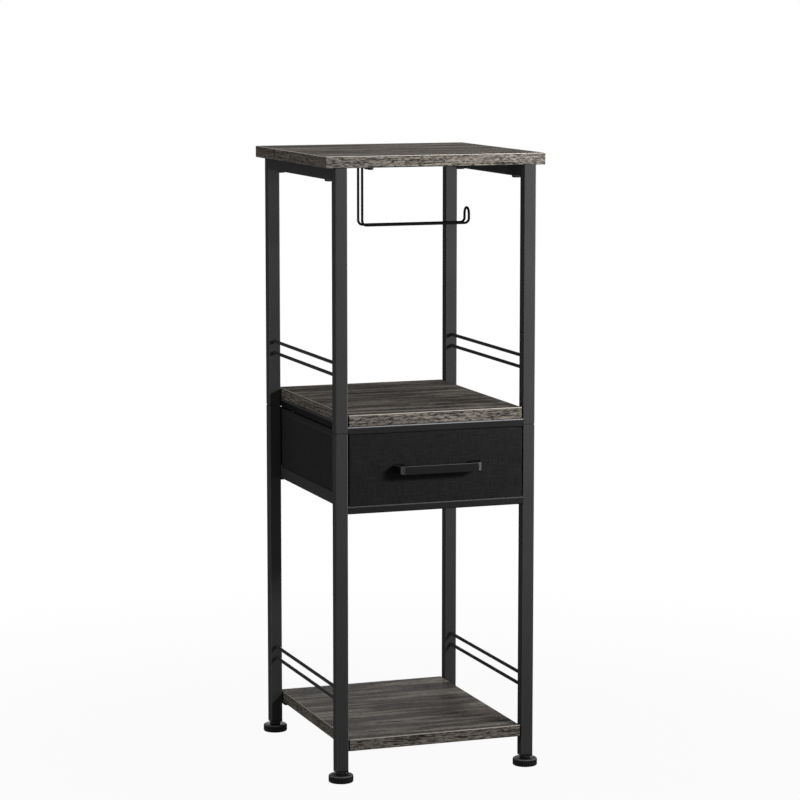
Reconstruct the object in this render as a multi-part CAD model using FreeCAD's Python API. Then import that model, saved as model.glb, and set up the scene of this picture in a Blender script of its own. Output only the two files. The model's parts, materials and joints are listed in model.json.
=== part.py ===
import FreeCAD, Part
import math
import os

# Slim bathroom stand: a welded frame of black square tube in an upper and a lower length,
# three laminated boards, a fabric drawer under the middle shelf, side guard rods,
# a bent wire paper holder under the top board, and four levelling feet.
# Millimetres. +X is right, -Y is the front, +Z is up. The origin is on the floor, in the
# middle of the overall footprint, which includes the drawer handle and the rear feet.

V = FreeCAD.Vector

# Overall sizes
HEIGHT = 800.0              # floor to the top of the top board
FRAME_WIDTH = 270.0         # over the legs, left to right
FRAME_DEPTH = 300.0         # over the legs, front to back

# Boards
BOARD = 15.0
BOARD_ROUND = 0.8
TOP_OVERHANG = 12.5         # top board past the legs, left and right
SHELF_SIDE_GAP = 1.5        # shelf edge to the inner faces of the legs
SHELF_SETBACK = 1.2         # shelf edge behind the faces of the legs, front and back
MIDDLE_SHELF_TOP = 474.0
BOTTOM_SHELF_TOP = 55.0

# Square tube of the legs and the top rails
TUBE = 16.0
TUBE_WALL = 1.2
TUBE_ROUND = 1.6
TUBE_INNER_ROUND = 0.5
LEG_SEAM_DROP = 8.0         # joint of upper and lower leg, below the middle shelf's underside
LEG_END_CHAMFER = 1.0
JOINER_LENGTH = 60.0
INSERT_CLEARANCE = 0.15     # each side of a joiner or plug inside the tube
INSERT_WALL = 1.5
INSERT_ROUND = 1.0

# Thin tube of the rails round the drawer
RAIL = 10.0
RAIL_WALL = 1.0
RAIL_ROUND = 2.0
RAIL_INNER_ROUND = 1.0
DRAWER_OPENING = 91.5       # clear height between the shelf rails and the runner rails
RUNNER_WIDTH = 10.0
RUNNER_HEIGHT = 16.0
RUNNER_LIFT = 9.0           # runner's top above the runner rails

# Guard rods beside the middle and the bottom shelf
ROD = 4.5
ROD_RISE = 48.5             # lower rod's axis above its shelf
ROD_PITCH = 15.3

# Tabs under the bottom shelf
TAB = 1.5
TAB_LENGTH = 26.0
TAB_WIDTH = 20.0
TAB_SETBACK = 8.0           # tab behind the leg's face
TAB_SCREW_INSET = 14.0      # screw behind the tab's nearer edge
TAB_ROUND = 4.0

# Wood screws, driven upwards
SCREW_CLEARANCE = 0.3       # round a shank in steel
PILOT_CLEARANCE = 0.05      # round a shank in a board
SCREW_BITE = 10.0           # length in a board
SHELF_SCREW = 3.5
SHELF_SCREW_HEAD = 7.5
SHELF_SCREW_HEAD_HEIGHT = 1.6
SHELF_SCREW_INSET = 62.0    # middle shelf's screws from the faces of the legs
TOP_SCREW = 4.0
TOP_SCREW_HEAD = 12.0
TOP_SCREW_HEAD_HEIGHT = 3.0
TOP_SCREW_INSET = 48.0      # from the faces of the legs
SCREW_HEAD_ROUND = 1.0

# Levelling feet
FOOT_DIAMETER = 32.0
FOOT_THICKNESS = 9.5
FOOT_ROUND = 2.2
FOOT_BOTTOM_CHAMFER = 0.8
FOOT_BOSS_DIAMETER = 14.0
FOOT_BOSS_HEIGHT = 3.2
FOOT_BOSS_ROUND = 1.4
FOOT_SOLE = 3.0             # plastic under the stud
FOOT_GAP = 0.3              # boss to the plug, screwed home
STUD = 8.0
STUD_LENGTH = 32.0
STUD_POINT = 1.0
STUD_SEAT_CLEARANCE = 0.1
STUD_RUN_CLEARANCE = 0.3
PLUG_FLANGE = 2.5
PLUG_DEPTH = 18.0

# Drawer
PANEL_SIDE_GAP = 1.2        # drawer front to the legs
PANEL_RAIL_GAP = 0.5        # drawer front to the rails
PANEL_DEPTH = 9.5
PANEL_ROUND = 1.6
FABRIC = 1.0
PANEL_BOARD_CLEARANCE = 0.15
BOX_SIDE_GAP = 1.5          # fabric box to the legs
BOX_RUN_GAP = 0.3           # fabric box to the runners
BOX_TOP_GAP = 0.6           # fabric box to the screw heads above it
BOX_BACK_GAP = 2.0          # fabric box to the back of the frame
BOX_WALL = 3.0
BOX_FLOOR = 1.5
BASE_BOARD = 3.0
BASE_BOARD_GAP = 1.0

# Drawer handle
HANDLE_SPACING = 102.0
HANDLE_FOOT = 15.0          # width of a foot on the drawer front
HANDLE_LENGTH = 108.0       # over the bar, where the feet are spread wider
HANDLE_LEG = 7.5            # width of a leg at the bar
HANDLE_HEIGHT = 11.0
HANDLE_BAR = 5.0
HANDLE_REACH = 22.0         # front of the bar, ahead of the drawer front
HANDLE_BEND = 7.5
HANDLE_INNER_BEND = 4.0
HANDLE_EDGE_ROUND = 1.0
HANDLE_SCREW = 4.0
HANDLE_SCREW_HEAD = 8.0
HANDLE_SCREW_HEAD_HEIGHT = 2.8
HANDLE_SCREW_BITE = 8.0
HANDLE_SCREW_CLEARANCE = 0.3
HANDLE_TAP_CLEARANCE = 0.05
HANDLE_HOLE_SPARE = 1.5     # handle's hole past the end of its screw
WASHER = 12.0
WASHER_THICKNESS = 1.0

# Paper holder
HOLDER_SETBACK = 86.0       # middle of the wire behind the front of the frame
HOLDER_REACH = 146.0        # from the hanging wires to the end loop
HOLDER_DROP = 78.0          # arm's axis under the top board
HOLDER_PITCH = 16.0         # between the two strands
HOLDER_BEND = 6.0
HOLDER_LOOP_RISE = 19.5     # top of the end loop's axis above the arm's axis
WIRE = 3.2
PLATE = 3.0
PLATE_LENGTH = 28.0
PLATE_WIDTH = 34.0
PLATE_ROUND = 4.0
PLATE_MARGIN = 6.0          # plate past the wires
PLATE_SCREW = 3.5
PLATE_SCREW_HEAD = 8.0
PLATE_SCREW_HEAD_HEIGHT = 4.5
PLATE_SCREW_OFFSET = 11.7   # screws beside the wires
PLATE_SCREW_PITCH = 13.0

# Places worked out from the sizes
FOOT_PAST = (FOOT_DIAMETER - TUBE) / 2
FRONT = (HANDLE_REACH - FRAME_DEPTH - FOOT_PAST) / 2
BACK = FRONT + FRAME_DEPTH
INNER = FRAME_WIDTH / 2 - TUBE
LEG_X = (FRAME_WIDTH - TUBE) / 2
TOP_UNDER = HEIGHT - BOARD
MIDDLE_UNDER = MIDDLE_SHELF_TOP - BOARD
BOTTOM_UNDER = BOTTOM_SHELF_TOP - BOARD
SEAM = MIDDLE_UNDER - LEG_SEAM_DROP
PLUG_UNDER = FOOT_THICKNESS + FOOT_BOSS_HEIGHT + FOOT_GAP
LEG_BOTTOM = PLUG_UNDER + PLUG_FLANGE
SHELF_RAIL_UNDER = MIDDLE_UNDER - RAIL
RUNNER_RAIL_TOP = SHELF_RAIL_UNDER - DRAWER_OPENING
RUNNER_TOP = RUNNER_RAIL_TOP + RUNNER_LIFT
PANEL_BACK = FRONT + PANEL_DEPTH
PANEL_HALF = INNER - PANEL_SIDE_GAP
PANEL_BOTTOM = RUNNER_RAIL_TOP + PANEL_RAIL_GAP
PANEL_TOP = SHELF_RAIL_UNDER - PANEL_RAIL_GAP
PANEL_MIDDLE = (PANEL_BOTTOM + PANEL_TOP) / 2
BOX_HALF = INNER - BOX_SIDE_GAP
BOX_BOTTOM = RUNNER_TOP + BOX_RUN_GAP
BOX_TOP = SHELF_RAIL_UNDER - SHELF_SCREW_HEAD_HEIGHT - BOX_TOP_GAP
BOX_BACK = BACK - BOX_BACK_GAP

# Rows of legs: name, face of the legs, and the way inwards from that face
ROWS = (("front", FRONT, 1), ("rear", BACK, -1))
SIDES = (("left", -1), ("right", 1))


def block(x0, x1, y0, y1, z0, z1):
    """Rectangular solid between two corners."""
    return Part.makeBox(x1 - x0, y1 - y0, z1 - z0, V(x0, y0, z0))


def span(a, b):
    """Two values, the smaller first."""
    return (min(a, b), max(a, b))


def hole(x, y, z0, z1, diameter):
    """Upright cylinder that cuts a round hole."""
    return Part.makeCylinder(diameter / 2, z1 - z0, V(x, y, z0))


def rounded_rectangle(width, depth, radius):
    """Closed outline of four straight sides and four quarter-round corners, centred on the origin."""
    a = width / 2 - radius
    b = depth / 2 - radius
    centres = (V(a, b, 0), V(-a, b, 0), V(-a, -b, 0), V(a, -b, 0))
    arcs = []
    for quarter, centre in enumerate(centres):
        turns = [math.radians(90 * quarter + step) for step in (0, 45, 90)]
        arcs.append([centre + V(math.cos(t), math.sin(t), 0) * radius for t in turns])
    edges = []
    for quarter, arc in enumerate(arcs):
        following = arcs[(quarter + 1) % 4]
        edges.append(Part.Arc(*arc).toShape())
        edges.append(Part.LineSegment(arc[2], following[0]).toShape())
    return Part.Wire(edges)


def tube_section(width, depth, wall, radius, inner_radius):
    """Section of a rolled tube: a rounded rectangle less the rounded rectangle of its bore."""
    outside = Part.Face(rounded_rectangle(width, depth, radius))
    bore = Part.Face(rounded_rectangle(width - 2 * wall, depth - 2 * wall, inner_radius))
    return outside.cut(bore)


def upright(section, x, y, z0, z1):
    """Section carried straight up from z0 to z1."""
    solid = section.extrude(V(0, 0, z1 - z0))
    solid.translate(V(x, y, z0))
    return solid


def along_x(section, y, z, x0, x1):
    """Section carried from x0 to x1; its width lies along Y and its depth along Z."""
    solid = section.extrude(V(0, 0, x1 - x0))
    solid.rotate(V(0, 0, 0), V(1, 1, 1), 120)
    solid.translate(V(x0, y, z))
    return solid


def along_y(section, x, z, y0, y1):
    """Section carried from y0 to y1; its width lies along X and its depth along Z."""
    solid = section.extrude(V(0, 0, y0 - y1))
    solid.rotate(V(0, 0, 0), V(1, 0, 0), 90)
    solid.translate(V(x, y0, z))
    return solid


def rounded_outline(points):
    """Closed outline through (place, rounding) corners; each rounding is an arc that meets both its sides."""
    corners = []
    for index, (here, rounding) in enumerate(points):
        if rounding == 0:
            corners.append((here, None, here))
            continue
        to_before = (points[index - 1][0] - here).normalize()
        to_after = (points[(index + 1) % len(points)][0] - here).normalize()
        inwards = (to_before + to_after).normalize()
        half = to_before.getAngle(to_after) / 2
        reach = rounding / math.tan(half)
        middle = here + inwards * (rounding / math.sin(half) - rounding)
        corners.append((here + to_before * reach, middle, here + to_after * reach))
    edges = []
    for index, (start, middle, end) in enumerate(corners):
        if middle is not None:
            edges.append(Part.Arc(start, middle, end).toShape())
        edges.append(Part.LineSegment(end, corners[(index + 1) % len(corners)][0]).toShape())
    return Part.Wire(edges)


def turned(points):
    """Solid turned about the Z axis from (radius, height, rounding) points of its half section."""
    outline = rounded_outline([(V(r, 0, z), rounding) for r, z, rounding in points])
    return Part.Face(outline).revolve(V(0, 0, 0), V(0, 0, 1), 360)


def screw(head, head_height, shank, length):
    """Round-headed screw that points up, with its head's end at the origin."""
    return turned((
        (0, 0, 0),
        (head / 2, 0, SCREW_HEAD_ROUND),
        (head / 2, head_height, 0),
        (shank / 2, head_height, 0),
        (shank / 2, head_height + length, 0),
        (0, head_height + length, 0),
    ))


def placed(solid, x, y, z):
    """Copy of a solid, moved."""
    copy = solid.copy()
    copy.translate(V(x, y, z))
    return copy


def board(x_half, y0, y1, z0, z1):
    """Laminated board with its edges eased."""
    blank = block(-x_half, x_half, y0, y1, z0, z1)
    return blank.makeFillet(BOARD_ROUND, blank.Edges)


LEG_SECTION = tube_section(TUBE, TUBE, TUBE_WALL, TUBE_ROUND, TUBE_INNER_ROUND)
RAIL_SECTION = tube_section(RAIL, RAIL, RAIL_WALL, RAIL_ROUND, RAIL_INNER_ROUND)
RUNNER_SECTION = tube_section(RUNNER_WIDTH, RUNNER_HEIGHT, RAIL_WALL, RAIL_ROUND, RAIL_INNER_ROUND)
INSERT = TUBE - 2 * TUBE_WALL - 2 * INSERT_CLEARANCE


def leg_y(face, inwards):
    """Middle of a leg in a row."""
    return face + inwards * TUBE / 2


def leg_places():
    """Name, X, Y, side and the row of each leg."""
    for row, face, inwards in ROWS:
        for side, sign in SIDES:
            yield f"{row}_{side}", sign * LEG_X, leg_y(face, inwards), sign, (face, inwards)


def eased_leg(x, y, z0, z1, eased_end):
    """Length of leg tube with the outside edge of one end chamfered, for the joint line."""
    leg = upright(LEG_SECTION, x, y, z0, z1)
    reach = TUBE / 2 - TUBE_WALL / 2
    edges = []
    for edge in leg.Edges:
        box = edge.BoundBox
        level = abs(box.ZMin - eased_end) < 1e-6 and abs(box.ZMax - eased_end) < 1e-6
        outside = max(box.XMax - x, x - box.XMin, box.YMax - y, y - box.YMin) > reach
        if level and outside:
            edges.append(edge)
    return leg.makeChamfer(LEG_END_CHAMFER, edges)


def leg_joiner(x, y):
    """Square sleeve inside the two lengths of a leg."""
    section = tube_section(INSERT, INSERT, INSERT_WALL, INSERT_ROUND, TUBE_INNER_ROUND)
    return upright(section, x, y, SEAM - JOINER_LENGTH / 2, SEAM + JOINER_LENGTH / 2)


def leg_plug(x, y):
    """End plug of a leg: a flange under the tube, a square insert and the bore for the stud."""
    flange = upright(Part.Face(rounded_rectangle(TUBE, TUBE, TUBE_ROUND)), x, y, PLUG_UNDER, LEG_BOTTOM)
    insert = upright(Part.Face(rounded_rectangle(INSERT, INSERT, INSERT_ROUND)), x, y,
                     LEG_BOTTOM, LEG_BOTTOM + PLUG_DEPTH)
    bore = hole(x, y, PLUG_UNDER, LEG_BOTTOM + PLUG_DEPTH, STUD + 2 * STUD_RUN_CLEARANCE)
    return flange.fuse(insert).cut(bore).removeSplitter()


def foot_pad():
    """Round pad with an eased rim, a low boss and the seat of the stud."""
    radius = FOOT_DIAMETER / 2
    boss = FOOT_BOSS_DIAMETER / 2
    seat = STUD / 2 + STUD_SEAT_CLEARANCE
    top = FOOT_THICKNESS + FOOT_BOSS_HEIGHT
    return turned((
        (0, 0, 0),
        (radius - FOOT_BOTTOM_CHAMFER, 0, 0),
        (radius, FOOT_BOTTOM_CHAMFER, 0),
        (radius, FOOT_THICKNESS, FOOT_ROUND),
        (boss, FOOT_THICKNESS, 0),
        (boss, top, FOOT_BOSS_ROUND),
        (seat, top, 0),
        (seat, FOOT_SOLE, 0),
        (0, FOOT_SOLE, 0),
    ))


def foot_stud():
    """Plain stud, pointed a little at its upper end."""
    radius = STUD / 2
    top = FOOT_SOLE + STUD_LENGTH
    return turned((
        (0, FOOT_SOLE, 0),
        (radius, FOOT_SOLE, 0),
        (radius, top - STUD_POINT, 0),
        (radius - STUD_POINT, top, 0),
        (0, top, 0),
    ))


def top_screw_places():
    """Middle of each screw of the top board, on the top rails."""
    for row, face, inwards in ROWS:
        for side, sign in SIDES:
            yield sign * LEG_X, face + inwards * TOP_SCREW_INSET


def shelf_screw_places():
    """Middle of each screw of the middle shelf, on the bearers."""
    for row, face, inwards in ROWS:
        for side, sign in SIDES:
            yield sign * (INNER - RAIL / 2), face + inwards * SHELF_SCREW_INSET


def tab_screw_places():
    """Middle of each screw of the bottom shelf, in the tabs' free halves."""
    for row, face, inwards in ROWS:
        for side, sign in SIDES:
            yield sign * (INNER - TAB_LENGTH * 0.6), face + inwards * (TAB_SETBACK + TAB_SCREW_INSET)


def plate_screw_places():
    """Middle of each screw of the holder's plate."""
    for way in (-1, 1):
        yield -HOLDER_REACH / 2 + PLATE_SCREW_OFFSET, FRONT + HOLDER_SETBACK + way * PLATE_SCREW_PITCH / 2


def with_pilots(solid, places, under, diameter):
    """Board with blind screw holes drilled from below."""
    for x, y in places:
        solid = solid.cut(hole(x, y, under, under + SCREW_BITE, diameter + 2 * PILOT_CLEARANCE))
    return solid


def top_board():
    blank = board(FRAME_WIDTH / 2 + TOP_OVERHANG, FRONT, BACK, TOP_UNDER, HEIGHT)
    blank = with_pilots(blank, top_screw_places(), TOP_UNDER, TOP_SCREW)
    return with_pilots(blank, plate_screw_places(), TOP_UNDER, PLATE_SCREW)


def shelf(under, screw_places):
    """Board between the left and right legs."""
    blank = board(INNER - SHELF_SIDE_GAP, FRONT + SHELF_SETBACK, BACK - SHELF_SETBACK, under, under + BOARD)
    return with_pilots(blank, screw_places, under, SHELF_SCREW)


def top_rail(sign):
    """Tube between a front and a rear leg, under the top board."""
    rail = along_y(LEG_SECTION, sign * LEG_X, TOP_UNDER - TUBE / 2, FRONT + TUBE, BACK - TUBE)
    for x, y in top_screw_places():
        rail = rail.cut(hole(x, y, TOP_UNDER - TUBE, TOP_UNDER, TOP_SCREW + 2 * SCREW_CLEARANCE))
    return rail


def cross_rail(face, inwards, under):
    """Thin rail from the left leg to the right leg, flush with their faces."""
    return along_x(RAIL_SECTION, face + inwards * RAIL / 2, under + RAIL / 2, -INNER, INNER)


def shelf_bearer(sign):
    """Thin rail along the inner faces of the legs, under the middle shelf."""
    bearer = along_y(RAIL_SECTION, sign * (INNER - RAIL / 2), SHELF_RAIL_UNDER + RAIL / 2,
                     FRONT + RAIL, BACK - RAIL)
    for x, y in shelf_screw_places():
        bearer = bearer.cut(hole(x, y, SHELF_RAIL_UNDER, MIDDLE_UNDER, SHELF_SCREW + 2 * SCREW_CLEARANCE))
    return bearer


def drawer_runner(sign):
    """Upright tube along the inner faces of the legs, which carries the drawer."""
    return along_y(RUNNER_SECTION, sign * (INNER - RUNNER_WIDTH / 2), RUNNER_TOP - RUNNER_HEIGHT / 2,
                   FRONT + RAIL, BACK - RAIL)


def shelf_tab(sign, face, inwards):
    """Plate welded to the inner face of a leg, with its free corners rounded and a screw hole."""
    x0, x1 = span(sign * INNER, sign * (INNER - TAB_LENGTH))
    y0, y1 = span(face + inwards * TAB_SETBACK, face + inwards * (TAB_SETBACK + TAB_WIDTH))
    tab = block(x0, x1, y0, y1, BOTTOM_UNDER - TAB, BOTTOM_UNDER)
    free = [e for e in tab.Edges if abs(e.BoundBox.ZLength - TAB) < 1e-6
            and abs(e.BoundBox.XMin - sign * (INNER - TAB_LENGTH)) < 1e-6]
    tab = tab.makeFillet(TAB_ROUND, free)
    for x, y in tab_screw_places():
        tab = tab.cut(hole(x, y, BOTTOM_UNDER - TAB, BOTTOM_UNDER, SHELF_SCREW + 2 * SCREW_CLEARANCE))
    return tab


def guard_rod(sign, z):
    """Round rod between a front and a rear leg, on the middle of the tube."""
    return Part.makeCylinder(ROD / 2, FRAME_DEPTH - 2 * TUBE, V(sign * LEG_X, FRONT + TUBE, z), V(0, 1, 0))


def holder_path():
    """Centre line of the holder's wire: down, along the arm, over the end loop, and back again."""
    left = -HOLDER_REACH / 2
    right = HOLDER_REACH / 2
    top = TOP_UNDER - PLATE
    arm = TOP_UNDER - HOLDER_DROP
    loop = arm + HOLDER_LOOP_RISE - HOLDER_PITCH / 2
    middle = FRONT + HOLDER_SETBACK
    near = middle - HOLDER_PITCH / 2
    far = middle + HOLDER_PITCH / 2
    bend = HOLDER_BEND
    inset = bend * (1 - math.sqrt(0.5))

    def strand(y):
        return [
            Part.LineSegment(V(left, y, top), V(left, y, arm + bend)),
            Part.Arc(V(left, y, arm + bend), V(left + inset, y, arm + inset), V(left + bend, y, arm)),
            Part.LineSegment(V(left + bend, y, arm), V(right - bend, y, arm)),
            Part.Arc(V(right - bend, y, arm), V(right - inset, y, arm + inset), V(right, y, arm + bend)),
            Part.LineSegment(V(right, y, arm + bend), V(right, y, loop)),
        ]

    over = Part.Arc(V(right, near, loop), V(right, middle, loop + HOLDER_PITCH / 2), V(right, far, loop))
    curves = strand(near) + [over] + strand(far)
    return Part.Wire(Part.__sortEdges__([curve.toShape() for curve in curves]))


def holder_wire():
    """Round wire bent along the holder's centre line."""
    path = holder_path()
    start = V(-HOLDER_REACH / 2, FRONT + HOLDER_SETBACK - HOLDER_PITCH / 2, TOP_UNDER - PLATE)
    ring = Part.Wire(Part.makeCircle(WIRE / 2, start, V(0, 0, 1)))
    wire = path.makePipeShell([ring], True, False)
    share = wire.Volume / (math.pi * WIRE ** 2 / 4 * path.Length)
    print(f"holder wire: {path.Length:.1f} mm long, volume over section times length {share:.4f}")
    return wire


def holder_plate():
    """Plate under the top board that the wires are welded to."""
    x0 = -HOLDER_REACH / 2 - PLATE_MARGIN
    plate = upright(Part.Face(rounded_rectangle(PLATE_LENGTH, PLATE_WIDTH, PLATE_ROUND)),
                    x0 + PLATE_LENGTH / 2, FRONT + HOLDER_SETBACK, TOP_UNDER - PLATE, TOP_UNDER)
    for x, y in plate_screw_places():
        plate = plate.cut(hole(x, y, TOP_UNDER - PLATE, TOP_UNDER, PLATE_SCREW + 2 * SCREW_CLEARANCE))
    return plate


def handle_bore(x, y0, y1, diameter):
    """Level cylinder through the drawer front, on a handle screw's axis."""
    return Part.makeCylinder(diameter / 2, y1 - y0, V(x, y0, PANEL_MIDDLE), V(0, 1, 0))


def handle_screw_columns():
    """X of the two handle screws."""
    return (-HANDLE_SPACING / 2, HANDLE_SPACING / 2)


def drawer_front_cover():
    """Fabric pocket over the front board, open along its lower edge where the board slides in."""
    pocket = block(-PANEL_HALF, PANEL_HALF, FRONT, PANEL_BACK, PANEL_BOTTOM, PANEL_TOP)
    rim = [e for e in pocket.Edges if e.BoundBox.YMax < FRONT + FABRIC / 2]
    pocket = pocket.makeFillet(PANEL_ROUND, rim)
    pocket = pocket.cut(block(-PANEL_HALF + FABRIC, PANEL_HALF - FABRIC, FRONT + FABRIC, PANEL_BACK - FABRIC,
                              PANEL_BOTTOM, PANEL_TOP - FABRIC))
    for x in handle_screw_columns():
        pocket = pocket.cut(handle_bore(x, FRONT, PANEL_BACK, HANDLE_SCREW + 2 * HANDLE_SCREW_CLEARANCE))
    return pocket


def drawer_front_board():
    """Stiff board inside the front cover."""
    spare = FABRIC + PANEL_BOARD_CLEARANCE
    stiffener = block(-PANEL_HALF + spare, PANEL_HALF - spare, FRONT + spare, PANEL_BACK - spare,
                      PANEL_BOTTOM, PANEL_TOP - spare)
    for x in handle_screw_columns():
        stiffener = stiffener.cut(handle_bore(x, FRONT, PANEL_BACK, HANDLE_SCREW + 2 * HANDLE_SCREW_CLEARANCE))
    return stiffener


def drawer_side(sign):
    """Stiffened fabric wall from the front cover to the back of the box."""
    x0, x1 = span(sign * BOX_HALF, sign * (BOX_HALF - BOX_WALL))
    return block(x0, x1, PANEL_BACK, BOX_BACK, BOX_BOTTOM + BOX_FLOOR, BOX_TOP)


def drawer_back():
    reach = BOX_HALF - BOX_WALL
    return block(-reach, reach, BOX_BACK - BOX_WALL, BOX_BACK, BOX_BOTTOM + BOX_FLOOR, BOX_TOP)


def drawer_floor():
    return block(-BOX_HALF, BOX_HALF, PANEL_BACK, BOX_BACK, BOX_BOTTOM, BOX_BOTTOM + BOX_FLOOR)


def drawer_base_board():
    """Loose hardboard on the fabric floor."""
    reach = BOX_HALF - BOX_WALL - BASE_BOARD_GAP
    under = BOX_BOTTOM + BOX_FLOOR
    return block(-reach, reach, PANEL_BACK + BASE_BOARD_GAP, BOX_BACK - BOX_WALL - BASE_BOARD_GAP,
                 under, under + BASE_BOARD)


def handle_outline():
    """Handle seen from above: a flat bow with rounded bends, whose legs spread towards the drawer front."""
    outer_foot = (HANDLE_SPACING + HANDLE_FOOT) / 2
    inner_foot = (HANDLE_SPACING - HANDLE_FOOT) / 2
    outer_bar = HANDLE_LENGTH / 2
    inner_bar = outer_bar - HANDLE_LEG
    bar = FRONT - HANDLE_REACH
    under_bar = bar + HANDLE_BAR
    return Part.Face(rounded_outline((
        (V(-outer_foot, FRONT, 0), 0),
        (V(-outer_bar, bar, 0), HANDLE_BEND),
        (V(outer_bar, bar, 0), HANDLE_BEND),
        (V(outer_foot, FRONT, 0), 0),
        (V(inner_foot, FRONT, 0), 0),
        (V(inner_bar, under_bar, 0), HANDLE_INNER_BEND),
        (V(-inner_bar, under_bar, 0), HANDLE_INNER_BEND),
        (V(-inner_foot, FRONT, 0), 0),
    )))


def drawer_handle():
    """Flat bow handle with eased edges and a tapped hole in each foot."""
    z0 = PANEL_MIDDLE - HANDLE_HEIGHT / 2
    bow = upright(handle_outline(), 0, 0, z0, z0 + HANDLE_HEIGHT)
    eased = [e for e in bow.Edges if e.BoundBox.ZLength < 1e-6 and e.BoundBox.YMin < FRONT - 1e-6]
    bow = bow.makeFillet(HANDLE_EDGE_ROUND, eased)
    depth = HANDLE_SCREW_BITE + HANDLE_HOLE_SPARE
    for x in handle_screw_columns():
        bow = bow.cut(handle_bore(x, FRONT - depth, FRONT, HANDLE_SCREW + 2 * HANDLE_TAP_CLEARANCE))
    return bow


def handle_screws():
    """Two screws from inside the drawer into the handle's feet."""
    length = WASHER_THICKNESS + PANEL_DEPTH + HANDLE_SCREW_BITE
    one = screw(HANDLE_SCREW_HEAD, HANDLE_SCREW_HEAD_HEIGHT, HANDLE_SCREW, length)
    one.rotate(V(0, 0, 0), V(1, 0, 0), 90)
    head_end = PANEL_BACK + WASHER_THICKNESS + HANDLE_SCREW_HEAD_HEIGHT
    return [placed(one, x, head_end, PANEL_MIDDLE) for x in handle_screw_columns()]


def handle_washers():
    """A washer under the head of each handle screw."""
    bore = HANDLE_SCREW + 2 * HANDLE_SCREW_CLEARANCE
    back = PANEL_BACK + WASHER_THICKNESS
    rings = []
    for x in handle_screw_columns():
        rings.append(handle_bore(x, PANEL_BACK, back, WASHER).cut(handle_bore(x, PANEL_BACK, back, bore)))
    return rings


def screws_up(places, under, head, head_height, shank, through):
    """Screws driven up from below a steel piece, through it and into a board."""
    one = screw(head, head_height, shank, through + SCREW_BITE)
    return [placed(one, x, y, under - head_height) for x, y in places]


def frame_parts(parts):
    """Legs, their joiners and plugs, rails, bearers, runners, tabs and guard rods."""
    joiners = []
    plugs = []
    tabs = []
    for name, x, y, sign, (face, inwards) in leg_places():
        parts[f"upper_leg_{name}"] = eased_leg(x, y, SEAM, TOP_UNDER, SEAM)
        parts[f"lower_leg_{name}"] = eased_leg(x, y, LEG_BOTTOM, SEAM, SEAM)
        joiners.append(leg_joiner(x, y))
        plugs.append(leg_plug(x, y))
        tabs.append(shelf_tab(sign, face, inwards))
    parts["leg_joiners"] = Part.makeCompound(joiners)
    parts["leg_plugs"] = Part.makeCompound(plugs)
    parts["bottom_shelf_tabs"] = Part.makeCompound(tabs)
    for row, face, inwards in ROWS:
        parts[f"shelf_rail_{row}"] = cross_rail(face, inwards, SHELF_RAIL_UNDER)
        parts[f"runner_rail_{row}"] = cross_rail(face, inwards, RUNNER_RAIL_TOP - RAIL)
    for side, sign in SIDES:
        parts[f"top_rail_{side}"] = top_rail(sign)
        parts[f"shelf_bearer_{side}"] = shelf_bearer(sign)
        parts[f"drawer_runner_{side}"] = drawer_runner(sign)
        for level, shelf_top in (("upper", MIDDLE_SHELF_TOP), ("lower", BOTTOM_SHELF_TOP)):
            low = shelf_top + ROD_RISE
            parts[f"{level}_guard_rod_{side}_low"] = guard_rod(sign, low)
            parts[f"{level}_guard_rod_{side}_high"] = guard_rod(sign, low + ROD_PITCH)


def board_parts(parts):
    """Three boards and the screws that hold them."""
    parts["top_board"] = top_board()
    parts["middle_shelf"] = shelf(MIDDLE_UNDER, shelf_screw_places())
    parts["bottom_shelf"] = shelf(BOTTOM_UNDER, tab_screw_places())
    parts["top_board_screws"] = Part.makeCompound(screws_up(
        top_screw_places(), TOP_UNDER - TUBE, TOP_SCREW_HEAD, TOP_SCREW_HEAD_HEIGHT, TOP_SCREW, TUBE))
    parts["middle_shelf_screws"] = Part.makeCompound(screws_up(
        shelf_screw_places(), SHELF_RAIL_UNDER, SHELF_SCREW_HEAD, SHELF_SCREW_HEAD_HEIGHT, SHELF_SCREW, RAIL))
    parts["bottom_shelf_screws"] = Part.makeCompound(screws_up(
        tab_screw_places(), BOTTOM_UNDER - TAB, SHELF_SCREW_HEAD, SHELF_SCREW_HEAD_HEIGHT, SHELF_SCREW, TAB))


def holder_parts(parts):
    """Paper holder under the top board."""
    parts["paper_holder_plate"] = holder_plate()
    parts["paper_holder_wire"] = holder_wire()
    parts["paper_holder_screws"] = Part.makeCompound(screws_up(
        plate_screw_places(), TOP_UNDER - PLATE, PLATE_SCREW_HEAD, PLATE_SCREW_HEAD_HEIGHT, PLATE_SCREW, PLATE))


def drawer_parts(parts):
    """Everything that slides out with the drawer."""
    parts["drawer_front_cover"] = drawer_front_cover()
    parts["drawer_front_board"] = drawer_front_board()
    for side, sign in SIDES:
        parts[f"drawer_side_{side}"] = drawer_side(sign)
    parts["drawer_back"] = drawer_back()
    parts["drawer_floor"] = drawer_floor()
    parts["drawer_base_board"] = drawer_base_board()
    parts["drawer_handle"] = drawer_handle()
    parts["handle_screws"] = Part.makeCompound(handle_screws())
    parts["handle_washers"] = Part.makeCompound(handle_washers())


def foot_parts(parts):
    """A pad and a stud under each leg."""
    pad = foot_pad()
    stud = foot_stud()
    for name, x, y, sign, row in leg_places():
        parts[f"foot_pad_{name}"] = placed(pad, x, y, 0)
        parts[f"foot_stud_{name}"] = placed(stud, x, y, 0)


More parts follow.
